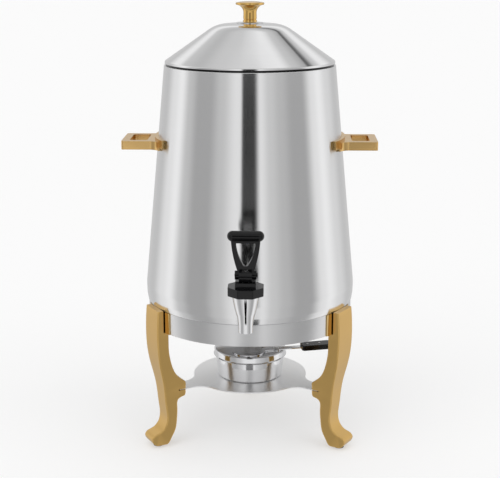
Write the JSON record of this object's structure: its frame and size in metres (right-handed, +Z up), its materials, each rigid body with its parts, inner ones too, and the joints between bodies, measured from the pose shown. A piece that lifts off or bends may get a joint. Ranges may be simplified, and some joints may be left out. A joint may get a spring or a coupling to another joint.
{
  "type": "coffee urn",
  "caption": "Tapered steel coffee urn with lid, side handles and lever tap, lifting out of a three-legged gold stand that holds a fuel burner.",
  "frame": {"origin": "on the floor plane, on the urn's vertical axis, midway between the three feet", "axes": "+Z up along the vessel's axis, -Y towards the tap at the front, +X towards the handle on the right seen from the front"},
  "size_m": [0.331, 0.357, 0.58],
  "materials": {
    "steel_polished": "polished with a fine vertical grain",
    "steel_satin": "satin",
    "steel_hardware": "bright zinc and stainless fasteners",
    "gold_satin": "satin gold coating on cast metal",
    "gold_polished": "polished gold plating",
    "chrome_plate": "mirror chrome plating",
    "black_plastic": "semi-gloss black moulding",
    "silicone": "soft translucent silicone",
    "foot_rubber": "matt black rubber"
  },
  "bodies": {
    "stand": {"ring_skirt": "steel_satin", "seat_ring": "steel_satin", "left_saddle": "gold_polished", "right_saddle": "gold_polished", "rear_saddle": "gold_polished", "left_leg": "gold_satin", "right_leg": "gold_satin", "rear_leg": "gold_satin", "leg_screws": "steel_hardware", "plate_screws": "steel_hardware", "foot_pads": "foot_rubber", "burner_plate": "steel_satin"},
    "burner": {"burner_cup": "chrome_plate", "burner_cover": "chrome_plate", "damper_rivet": "steel_hardware"},
    "damper": {"damper": "chrome_plate", "upper_grip": "black_plastic", "lower_grip": "black_plastic", "grip_rivets": "steel_hardware"},
    "vessel": {"vessel_shell": "steel_polished", "vessel_base": "steel_satin", "left_handle": "gold_polished", "right_handle": "gold_polished", "handle_screws": "steel_hardware", "handle_washers": "silicone", "tap_body": "chrome_plate", "tap_shank": "steel_hardware", "tap_gasket": "silicone", "tap_washer": "silicone", "tap_nut": "steel_hardware", "tap_bonnet": "black_plastic"},
    "stem": {"tap_stem": "steel_hardware", "seat_cup": "silicone", "tap_spring": "steel_hardware", "lever_pin": "black_plastic"},
    "lever": {"tap_lever": "black_plastic"},
    "lid": {"lid_shell": "steel_polished", "lid_guide": "steel_satin", "knob_washer": "steel_satin", "lid_knob": "gold_polished", "knob_screw": "steel_hardware"}
  },
  "joints": [
    {"name": "vessel_lift", "type": "slide", "parent": "stand", "child": "vessel", "axis": [0, 0, 1], "range_m": [0, 0.06]},
    {"name": "lid_lift", "type": "slide", "parent": "vessel", "child": "lid", "axis": [0, 0, 1], "range_m": [0, 0.12]},
    {"name": "stem_lift", "type": "slide", "parent": "vessel", "child": "stem", "axis": [0, 0, 1], "range_m": [0, 0.00429], "stiffness_N_per_m": 60, "springref_m": -0.002, "deforming": ["tap_spring"]},
    {"name": "lever_tip", "type": "hinge", "parent": "stem", "child": "lever", "pos_m": [0, -0.182, 0.2684], "axis": [1, 0, 0], "range_deg": [0, 30]},
    {"name": "burner_slide", "type": "slide", "parent": "stand", "child": "burner", "axis": [0.866, 0.5, 0], "range_m": [0, 0.06]},
    {"name": "damper_swing", "type": "hinge", "parent": "burner", "child": "damper", "pos_m": [0.03571, -0.013, 0.1163], "axis": [0, 0, 1], "range_deg": [-35, 45]}
  ],
  "couplings": [
    {"joint": "lever_tip", "follows": "stem_lift", "rad_per_m": 121.95}
  ]
}
